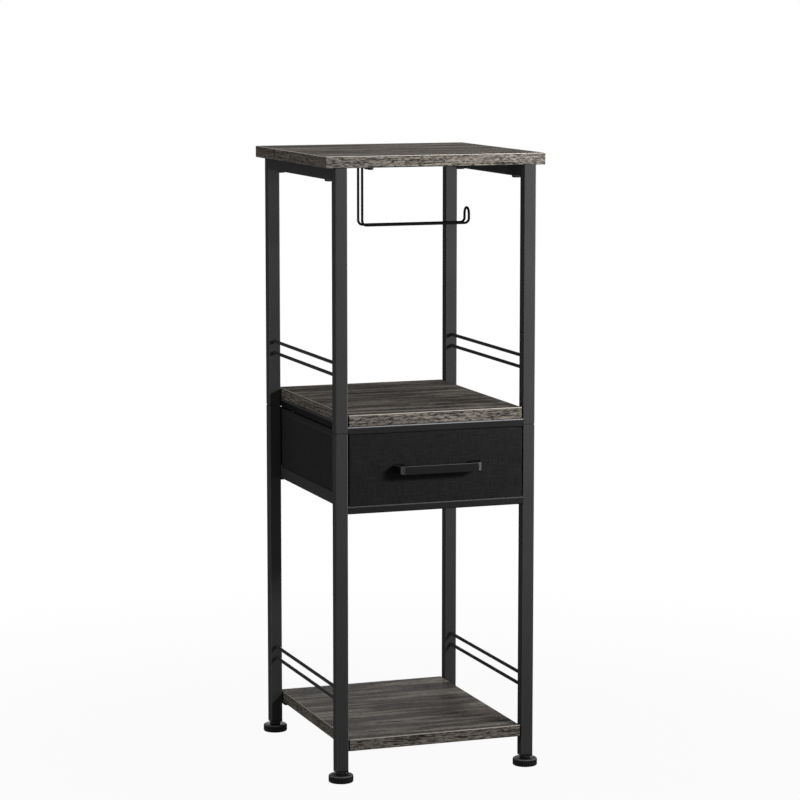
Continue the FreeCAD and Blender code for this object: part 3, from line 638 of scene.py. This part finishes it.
def pocket_cover(low, high, rounding):
    """Front and back sheets of a pocket over a board, joined round the left, upper and right edges.

    Both sheets lie flat, and past a rectangle one rounding R inside those edges they bend back by
    R - sqrt(R^2 - q^2) at the distance q from it. At the corners the square of points past it is drawn in to
    a quarter disc. The front also swells by a fraction of a millimetre, as (1 - u^2)(1 - v^2).
    """
    front_swell = 0.25 * MM
    back_bend = 0.35
    x, z = np.meshgrid(edge_spread(low.x, high.x, rounding, count=44),
                       edge_spread(low.z, high.z, rounding, count=20))
    flat_x = np.clip(x, low.x + rounding, high.x - rounding)
    flat_z = np.minimum(z, high.z - rounding)
    past_x, past_z = x - flat_x, z - flat_z
    q = np.maximum(np.abs(past_x), past_z)
    inwards = q / np.maximum(np.hypot(past_x, past_z), 1e-9)
    x, z = flat_x + past_x * inwards, flat_z + past_z * inwards
    bend = rounding - np.sqrt(np.maximum(rounding ** 2 - q ** 2, 0.0))
    u = across_middle(x, low.x, high.x)
    v = across_middle(z, low.z, high.z)
    swell = front_swell * (1.0 - u ** 2) * (1.0 - v ** 2)
    front = np.stack((x, low.y + bend - swell, z), axis=-1)
    back = np.stack((x, high.y - back_bend * bend, z), axis=-1)
    return two_sheets(front, back, first_row_open=True)


def wall_line(half, front, back, corner, step):
    """Line of the left wall, the back and the right wall seen from above, with quarter-round corners.

    Each point lies one corner radius outwards from a line of centres, and the outward direction turns from
    left to right by way of the back. Returns the points, these directions and the distance along the line.
    """
    end, reach = back - corner, half - corner
    side = np.linspace(front, end, max(2, int((end - front) / step)), endpoint=False)
    rear = np.linspace(-reach, reach, max(2, int(2 * reach / step)), endpoint=False)
    bend = QUARTER_TURN[:-1]
    angle = np.concatenate((np.full(len(side), math.pi), math.pi - bend, np.full(len(rear), math.pi / 2),
                            math.pi / 2 - bend, np.zeros(len(side) + 1)))
    centre_x = np.concatenate((np.full(len(side) + len(bend), -reach), rear,
                               np.full(len(bend) + len(side) + 1, reach)))
    centre_y = np.concatenate((side, np.full(2 * len(bend) + len(rear), end), front + end - side, [front]))
    outwards = np.stack((np.cos(angle), np.sin(angle)), axis=-1)
    points = np.stack((centre_x, centre_y), axis=-1) + corner * outwards
    distance = np.concatenate(([0.0], np.cumsum(np.linalg.norm(np.diff(points, axis=0), axis=1))))
    return points, outwards, distance


def carried_section(points, outwards, offset, height):
    """Closed section carried along a level line: each of its points goes offset outwards, to its height."""
    place = points[:, None, :] + outwards[:, None, :] * offset[..., None]
    return np.concatenate((place, np.broadcast_to(height, place.shape[:2])[..., None]), axis=-1)


def wall_section(low, high, thickness, count):
    """Offsets and heights round an upright wall with a half-round upper edge, outside first."""
    radius = thickness / 2
    rise = np.linspace(low, high - radius, count)
    turn = np.linspace(0.0, math.pi, 9)[1:-1]
    offset = np.concatenate((np.zeros(count), radius * (np.cos(turn) - 1.0), np.full(count, -thickness)))
    height = np.concatenate((rise, high - radius + radius * np.sin(turn), rise[::-1]))
    return offset, height


def binding_section(high, wall, tape, drop):
    """Offsets and heights round a tape folded over a wall's upper edge: its outside, then its inside."""
    sunk = 0.2 * MM
    radius = wall / 2
    turn = np.linspace(0.0, math.pi, 13)
    low = high - drop
    outer = radius + tape
    hidden = radius - sunk
    offset = np.concatenate(([tape], outer * np.cos(turn) - radius, [-wall - tape],
                             [-wall + sunk], hidden * np.cos(turn[::-1]) - radius, [-sunk]))
    height = np.concatenate(([low], high - radius + outer * np.sin(turn), [low],
                             [low], high - radius + hidden * np.sin(turn[::-1]), [low]))
    return offset, height


def stitches(centres, along, aside, half_length, radius):
    """Row of short threads: each is a stretched ball cut flat at its tips."""
    rings, sides, tip = 5, 6, 0.2
    tilt = np.linspace(math.pi - tip, tip, rings)
    spin = whole_turn(sides)
    ball = np.stack(np.broadcast_arrays(
        half_length * np.cos(tilt)[:, None], radius * np.sin(tilt)[:, None] * np.cos(spin),
        radius * np.sin(tilt)[:, None] * np.sin(spin)), axis=-1)
    return (centres[:, None, None, :] + ball[None, ..., 0:1] * along[:, None, None, :]
            + ball[None, ..., 1:2] * aside[:, None, None, :] + ball[None, ..., 2:3] * np.array(UP))


def sagging_floor(low, high, sag):
    """Fabric floor: flat above, and hanging below by sag times (1 - u^2)(1 - v^2) with a slow ripple."""
    x, y = np.meshgrid(np.linspace(low.x, high.x, 40), np.linspace(low.y, high.y, 46))
    u = across_middle(x, low.x, high.x)
    v = across_middle(y, low.y, high.y)
    ripple = 0.25 * np.sin(7.0 * u + 3.0 * v)
    hang = sag * (1.0 - u ** 2) * (1.0 - v ** 2) * (1.0 + ripple)
    upper = np.stack((x, y, np.full_like(x, high.z)), axis=-1)
    under = np.stack((x, y, low.z - hang), axis=-1)
    return two_sheets(upper, under, first_row_open=False)


def turned_about(origin, axis, radius, height):
    """Rings of points at a radius and a height about an axis through origin, for arrays of rows by turns."""
    axis = np.asarray(axis, dtype=float)
    first = np.roll(axis, 1)
    second = np.cross(axis, first)
    spin = whole_turn(radius.shape[1])
    round_axis = np.cos(spin)[:, None] * first + np.sin(spin)[:, None] * second
    return np.asarray(origin) + radius[..., None] * round_axis + height[..., None] * axis


def cross_screw(origin, axis, head, head_height, shank, reach, recess, depth):
    """Pan-head screw: a profile turned about the axis, less a cross recess in the crown.

    The crown is a shallow dome. It sinks by the depth within the recess, where the smaller of |a| and |b|
    across the wings is under half a wing and the distance from the middle is under two thirds of the head.
    """
    turns = 48
    slope = 0.3 * MM
    crown_end, recess_end = 0.86 * head, 0.62 * head
    dome_fall = 0.18 * head_height
    spin = whole_turn(turns)
    crown = np.linspace(0.04, 1.0, 15)[:, None] * crown_end
    dome = dome_fall * (crown / head) ** 2
    wing = np.minimum(np.abs(np.cos(spin)), np.abs(np.sin(spin)))
    across = np.clip((recess / 2 - crown * wing) / slope + 0.5, 0.0, 1.0)
    ends = np.clip((recess_end - crown) / slope, 0.0, 1.0)
    sunk = depth * across * ends * (1.0 - 0.45 * crown / head)
    side_radius = np.array([head * 0.95, head, head, shank, shank, shank * 0.25])
    side_height = np.array([head_height * 0.26, head_height * 0.45, head_height, head_height,
                            reach - 1.5 * shank, reach])
    radius = np.repeat(np.concatenate((crown[:, 0], side_radius))[:, None], turns, axis=1)
    height = np.concatenate((dome + sunk, np.repeat(side_height[:, None], turns, axis=1)))
    return turned_about(origin, axis, radius, height)


def threaded_stud(low, high, pitch, depth, point):
    """Threaded rod: the radius falls by the depth along a triangle wave of height and turn, to a taper."""
    turns, rows_per_pitch = 32, 8
    steepness, crest = 2.6, 0.15
    reach = high.z - low.z
    radius = (high.x - low.x) / 2
    height = np.linspace(0.0, reach, int(reach / pitch * rows_per_pitch))[:, None]
    spin = np.arange(turns)[None, :] / turns
    phase = np.mod(height / pitch - spin, 1.0)
    groove = np.clip(steepness * np.abs(phase - 0.5) - crest, 0.0, 1.0)
    taper = np.clip((height - (reach - point)) / point, 0.0, 1.0)
    radii = np.minimum(radius - depth * groove, radius - point * taper)
    return turned_about(foot_of(low, high), UP, radii, np.broadcast_to(height, radii.shape))


def ribbed_pad(low, high, pitch, depth):
    """Foot pad: a profile of sole, eased rim, boss and stud seat turned about the upright axis.

    Round the rim the radius falls by the depth times (1 - cos(n t)) / 2, with n ribs to the turn t, and the
    grooves run out where the rim is eased.
    """
    thickness, rounding, chamfer = 9.5 * MM, 2.2 * MM, 0.8 * MM
    boss, boss_rounding = 7.0 * MM, 1.4 * MM
    seat, sole = 4.1 * MM, 3.0 * MM
    radius = (high.x - low.x) / 2
    top = high.z - low.z
    inwards, upwards = np.cos(QUARTER_TURN), np.sin(QUARTER_TURN)
    rim_radius = radius - rounding + rounding * inwards
    rim_height = thickness - rounding + rounding * upwards
    boss_radius = boss - boss_rounding + boss_rounding * inwards
    boss_height = top - boss_rounding + boss_rounding * upwards
    profile = np.concatenate(([radius - chamfer, radius], rim_radius, [boss], boss_radius, [seat, seat]))
    height = np.concatenate(([0.0, chamfer], rim_height, [thickness], boss_height, [top, sole]))
    grooved = np.concatenate(([0.0, 0.6], inwards ** 2, np.zeros(len(inwards) + 3)))
    ribs = round(2.0 * math.pi * radius / pitch)
    turns = 6 * ribs
    spin = whole_turn(turns)
    radii = profile[:, None] - depth * grooved[:, None] * (0.5 - 0.5 * np.cos(ribs * spin))
    return turned_about(foot_of(low, high), UP, radii, np.broadcast_to(height[:, None], radii.shape))


def foot_of(low, high):
    """Middle of a box's underside."""
    return (low.x + high.x) / 2, (low.y + high.y) / 2, low.z


def solid_boxes(node):
    """Lowest and highest corner of each separate solid of a CAD node, by gaps between points in X and Y."""
    least_gap = 3.0 * MM
    mesh = NODES[node].data
    place = np.empty(len(mesh.vertices) * 3, dtype=np.float32)
    mesh.vertices.foreach_get("co", place)
    groups = [place.reshape(-1, 3).astype(float)]
    for axis in (0, 1):
        split = []
        for group in groups:
            order = group[np.argsort(group[:, axis])]
            cuts = np.nonzero(np.diff(order[:, axis]) > least_gap)[0] + 1
            split.extend(np.split(order, cuts))
        groups = split
    return [(group.min(axis=0), group.max(axis=0)) for group in groups]


def turn_in_place(node, kind, shapes, material, sharp=35.0):
    """Puts a piece made of turned shapes in place of a CAD node."""
    piece = make_piece(f"{node}_{kind}", node, tubes(shapes), material, sharp)
    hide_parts(node)


# Operators

class STAND_OT_coat_frame(bpy.types.Operator):
    """Gives tubes, rods, rails and the holder's wire their powder coat"""

    bl_idname = "stand.coat_frame"
    bl_label = "Powder coat the frame"

    def execute(self, context):
        finish = settings().frame_finish
        upper_edges = 0.7
        # Paler eased edges on tubes, rails and bearers are painted highlights
        coats = (
            (nodes_in_slot("powder_coated_steel"), "tube", finish.coat, finish.painted_highlight, 0.0),
            # Painted shade: the shelf rails take a darker copy of the legs' coat
            (nodes_named("shelf_rail"), "shelf_rail", finish.shaded_rail_coat, finish.painted_rail_highlight, upper_edges),
            # Painted shade: the bearers under the shelf take the dark wire coat
            (nodes_named("shelf_bearer"), "bearer", finish.wire_and_shaded_bearer_coat, finish.painted_highlight, upper_edges),
            # Painted shade: the drawer rails take the same darker copy of the coat
            (nodes_named("runner_rail"), "drawer_rail", finish.shaded_rail_coat, finish.painted_highlight, upper_edges),
            (nodes_named("upper_guard", "lower_guard", "drawer_runner"), "rod", finish.coat, None, 0.0),
            (nodes_named("paper_holder_wire"), "wire", finish.wire_and_shaded_bearer_coat, None, 0.0),
        )
        for nodes, name, coat, painted_highlight, lean in coats:
            dress(nodes, powder_coated_steel(finish, f"powder_coated_{name}", coat, painted_highlight, lean))
        return {"FINISHED"}


class STAND_OT_laminate_boards(bpy.types.Operator):
    """Gives the boards their wood-grain laminate and edge bands"""

    bl_idname = "stand.laminate_boards"
    bl_label = "Laminate the boards"

    def execute(self, context):
        dress(nodes_in_slot("laminated_board"), charcoal_oak_melamine(settings().board_finish))
        return {"FINISHED"}


class STAND_OT_sew_drawer_front(bpy.types.Operator):
    """Sews the cover over the drawer's front board"""

    bl_idname = "stand.sew_drawer_front"
    bl_label = "Sew the drawer front"

    def execute(self, context):
        finish = settings().drawer_finish
        cloth = slub_weave(finish, "slub_weave_front")
        shape = pocket_cover(*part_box("drawer_front_cover"), finish.rounding)
        cover = make_piece("drawer_front_fabric", "drawer_front_cover", shape, cloth, sharp=60.0)
        thickness = cover.modifiers.new("cloth", "SOLIDIFY")
        thickness.thickness = finish.cloth
        thickness.offset = -1.0
        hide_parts("drawer_front_cover")
        return {"FINISHED"}


class STAND_OT_sew_drawer_box(bpy.types.Operator):
    """Sews the drawer's walls, their binding and its stitches, and the floor"""

    bl_idname = "stand.sew_drawer_box"
    bl_label = "Sew the drawer box"

    def execute(self, context):
        finish = settings().drawer_finish
        cloth = slub_weave(finish, "slub_weave_box")
        low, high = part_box("drawer_side_left")
        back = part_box("drawer_back")[1].y
        wall = high.x - low.x
        line, outwards, distance = wall_line(-low.x, low.y, back, finish.corner, step=7.0 * MM)
        offset, height = wall_section(low.z, high.z, wall, count=10)
        rise = (height - low.z) / (high.z - low.z)
        long_ripple, short_ripple = 31.0 * MM, 17.3 * MM
        ripple = np.sin(distance / long_ripple) + 0.6 * np.sin(distance / short_ripple + 1.3)
        bow = -finish.bow * np.sin(math.pi * rise) * (1.0 + 0.5 * ripple[:, None])
        shape = tubes([carried_section(line, outwards, offset + bow, height)])
        walls = make_piece("drawer_wall_fabric", "drawer_side_left", shape, cloth, sharp=60.0)
        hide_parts("drawer_side_left", "drawer_side_right", "drawer_back")

        offset, height = binding_section(high.z, wall, finish.binding_thickness, finish.binding_height)
        shape = tubes([carried_section(line, outwards, offset, height)])
        make_piece("drawer_binding", "drawer_side_left", shape, woven_binding(finish), sharp=60.0)

        count = int(distance[-1] / finish.stitch_pitch)
        spots = (np.arange(count) + 0.5) * distance[-1] / count
        seam_x, seam_y = (np.interp(spots, distance, line[:, k]) for k in (0, 1))
        out_x, out_y = (np.interp(spots, distance, outwards[:, k]) for k in (0, 1))
        seam_z = np.full(count, high.z - finish.binding_height + finish.stitch_rise)
        aside = np.stack((out_x, out_y, np.zeros(count)), axis=-1)
        along = np.stack((out_y, -out_x, np.zeros(count)), axis=-1)
        seam = np.stack((seam_x, seam_y, seam_z), axis=-1)
        rows = np.concatenate((seam + aside * finish.binding_thickness,
                               seam - aside * (wall + finish.binding_thickness)))
        shape = tubes(stitches(rows, np.tile(along, (2, 1)), np.tile(aside, (2, 1)),
                               finish.stitch_length / 2, finish.stitch_radius))
        make_piece("drawer_stitches", "drawer_side_left", shape, sewing_thread(finish), sharp=180.0)

        shape = sagging_floor(*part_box("drawer_floor"), finish.sag)
        floor = make_piece("drawer_floor_fabric", "drawer_floor", shape, cloth)
        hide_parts("drawer_floor")
        return {"FINISHED"}


class STAND_OT_fit_drawer_boards(bpy.types.Operator):
    """Gives the drawer's stiffening boards their raw fibreboard"""

    bl_idname = "stand.fit_drawer_boards"
    bl_label = "Fit the drawer's boards"

    def execute(self, context):
        dress(nodes_in_slot("fibreboard"), raw_fibreboard(settings().drawer_finish))
        return {"FINISHED"}


class STAND_OT_finish_fittings(bpy.types.Operator):
    """Lacquers the handle, moulds the plugs' plastic, and plates the washers"""

    bl_idname = "stand.finish_fittings"
    bl_label = "Finish the fittings"

    def execute(self, context):
        finish = settings().fitting_finish
        dress(nodes_in_slot("handle_lacquer"), satin_lacquer(finish))
        dress(nodes_in_slot("black_plastic"), moulded_plastic(finish))
        zinc = plated_steel("zinc_plate", finish.zinc, metallic=1.0, low=0.24, high=0.42)
        dress(nodes_in_slot("zinc_plated_steel"), zinc)
        return {"FINISHED"}


class STAND_OT_drive_screws(bpy.types.Operator):
    """Puts cross-recessed screws in place of the plain ones"""

    bl_idname = "stand.drive_screws"
    bl_label = "Drive the screws"

    def execute(self, context):
        finish = settings().fitting_finish
        oxide = plated_steel("black_oxide_steel", finish.oxide, metallic=0.0, low=0.45, high=0.6)
        metals = {"black_screw": oxide, "zinc_plated_steel": bpy.data.materials["zinc_plate"]}
        for node, (head_height, shank) in SCREWS.items():
            depth = min(finish.recess_depth, 0.7 * head_height * MM)
            shapes = []
            for low, high in solid_boxes(node):
                middle = (low + high) / 2
                head = (high[0] - low[0]) / 2
                if node == "handle_screws":
                    origin, axis, reach = (middle[0], high[1], middle[2]), (0.0, -1.0, 0.0), high[1] - low[1]
                else:
                    origin, axis, reach = (middle[0], middle[1], low[2]), UP, high[2] - low[2]
                shapes.append(cross_screw(origin, axis, head, head_height * MM, shank * MM, reach,
                                          finish.recess_width, depth))
            turn_in_place(node, "recessed", shapes, metals[SLOT_OF[node]])
        return {"FINISHED"}


class STAND_OT_cut_threads(bpy.types.Operator):
    """Puts threaded studs in place of the plain ones of the feet"""

    bl_idname = "stand.cut_threads"
    bl_label = "Cut the studs' threads"

    def execute(self, context):
        finish = settings().fitting_finish
        zinc = bpy.data.materials["zinc_plate"]
        for node in nodes_named("foot_stud"):
            shape = threaded_stud(*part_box(node), finish.pitch, finish.thread_depth, finish.point)
            turn_in_place(node, "threaded", [shape], zinc, sharp=25.0)
        return {"FINISHED"}


class STAND_OT_mould_pads(bpy.types.Operator):
    """Puts ribbed pads in place of the plain ones of the feet"""

    bl_idname = "stand.mould_pads"
    bl_label = "Mould the foot pads"

    def execute(self, context):
        finish = settings().fitting_finish
        plastic = bpy.data.materials["moulded_black_plastic"]
        for node in nodes_named("foot_pad"):
            shape = ribbed_pad(*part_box(node), finish.rib_pitch, finish.rib_depth)
            turn_in_place(node, "ribbed", [shape], plastic)
        return {"FINISHED"}


class STAND_OT_set_stage(bpy.types.Operator):
    """Lays the pale floor, hangs the lamps and sets the camera"""

    bl_idname = "stand.set_stage"
    bl_label = "Set the stage"

    def execute(self, context):
        stage = settings().stage
        scene = context.scene
        scene.view_settings.view_transform = "Standard"
        self.lay_floor(scene, stage)
        self.light_room(scene, stage)
        for name, (place, target, size) in LAMPS.items():
            self.hang_lamp(scene, name, Vector(place), Vector(target), size, getattr(stage, name))
        self.set_camera(scene, stage)
        return {"FINISHED"}

    def lay_floor(self, scene, stage):
        """Level sheet 16 m across that keeps the stand's shadow.

        Seen directly it is nearly white, and it fades to full white between 0.3 and 1.3 m from its middle.
        """
        half = 8.0
        mesh = bpy.data.meshes.new("floor")
        corners = [(-half, -half, 0), (half, -half, 0), (half, half, 0), (-half, half, 0)]
        mesh.from_pydata(corners, [], [(0, 1, 2, 3)])
        floor = bpy.data.objects.new("floor", mesh)
        scene.collection.objects.link(floor)
        material, add, where = new_finish("pale_floor")
        matte = add("BsdfDiffuse", {"Color": rgba(stage.floor)})
        white = add("Emission", {"Color": WHITE, "Strength": 1.0})
        reach = add("VectorMath", {0: where["Object"]}, operation="LENGTH")
        fade = add("MapRange", {
            "Value": reach.outputs["Value"], "From Min": 0.3, "From Max": 1.3, "To Min": 0.95, "To Max": 1.0},
            interpolation_type="SMOOTHSTEP")
        share = add("Math", {0: fade, 1: self.seen_directly(add)}, operation="MULTIPLY")
        shader = add("MixShader", {0: share, 1: matte, 2: white})
        mesh.materials.append(close_finish(material, shader))

    def light_room(self, scene, stage):
        """White all round to the eye and in reflections, with a lower even light on matte surfaces."""
        world = bpy.data.worlds.new("white_room")
        world.use_nodes = True
        world.node_tree.nodes.clear()
        add = partial(add_node, world.node_tree)
        direct = self.seen_directly(add)
        level = add("MapRange", {"Value": direct, "To Min": stage.ambient, "To Max": 1.0})
        white = add("Background", {"Color": WHITE, "Strength": level})
        add("OutputWorld", {"Surface": white})
        scene.world = world

    def seen_directly(self, add):
        """One for camera, glossy and transmission rays, else nought."""
        path = add("LightPath").outputs
        either = add("Math", {0: path["Is Camera Ray"], 1: path["Is Glossy Ray"]}, operation="MAXIMUM")
        return add("Math", {0: either, 1: path["Is Transmission Ray"]}, operation="MAXIMUM")

    def hang_lamp(self, scene, name, place, target, size, watts):
        """Rectangular soft lamp that faces a point."""
        lamp = bpy.data.lights.new(name, "AREA")
        lamp.shape = "RECTANGLE"
        lamp.size, lamp.size_y = size
        lamp.energy = watts
        holder = bpy.data.objects.new(name, lamp)
        holder.location = place
        holder.rotation_euler = (place - target).to_track_quat("Z", "Y").to_euler()
        holder.visible_camera = False
        scene.collection.objects.link(holder)

    def set_camera(self, scene, stage):
        """Camera at the photograph's viewing angle."""
        camera = bpy.data.cameras.new("photo_camera")
        camera.lens = stage.lens
        camera.sensor_width = 36.0
        camera.clip_start = 0.05
        camera.clip_end = 60.0
        holder = bpy.data.objects.new("photo_camera", camera)
        holder.location = stage.camera_place
        holder.rotation_euler = Euler((math.pi / 2 - stage.camera_pitch, 0.0, -stage.camera_yaw))
        scene.collection.objects.link(holder)
        scene.camera = holder


class STAND_PT_dressing(bpy.types.Panel):
    """Lists the stand's settings and steps"""

    bl_idname = "STAND_PT_dressing"
    bl_label = "Bathroom stand"
    bl_space_type = "VIEW_3D"
    bl_region_type = "UI"
    bl_category = "Stand"

    def draw(self, context):
        groups = context.scene.bathroom_stand
        for name in ("frame_finish", "board_finish", "drawer_finish", "fitting_finish", "stage"):
            group = getattr(groups, name)
            column = self.layout.box().column()
            for prop in group.bl_rna.properties:
                if prop.identifier not in {"rna_type", "name"}:
                    column.prop(group, prop.identifier)
        for step in STEPS:
            self.layout.operator(step.bl_idname)


STEPS = (STAND_OT_coat_frame, STAND_OT_laminate_boards, STAND_OT_sew_drawer_front, STAND_OT_sew_drawer_box,
         STAND_OT_fit_drawer_boards, STAND_OT_finish_fittings, STAND_OT_drive_screws, STAND_OT_cut_threads,
         STAND_OT_mould_pads, STAND_OT_set_stage)
CLASSES = (FrameFinish, BoardFinish, DrawerFinish, FittingFinish, StageSettings, StandSettings, *STEPS,
           STAND_PT_dressing)


def register():
    for cls in CLASSES:
        bpy.utils.register_class(cls)
    bpy.types.Scene.bathroom_stand = PointerProperty(type=StandSettings)


def unregister():
    del bpy.types.Scene.bathroom_stand
    for cls in reversed(CLASSES):
        bpy.utils.unregister_class(cls)


def main():
    register()
    bpy.ops.stand.coat_frame()
    bpy.ops.stand.laminate_boards()
    bpy.ops.stand.sew_drawer_front()
    bpy.ops.stand.sew_drawer_box()
    bpy.ops.stand.fit_drawer_boards()
    bpy.ops.stand.finish_fittings()
    bpy.ops.stand.drive_screws()
    bpy.ops.stand.cut_threads()
    bpy.ops.stand.mould_pads()
    bpy.ops.stand.set_stage()


if __name__ == "__main__":
    main()
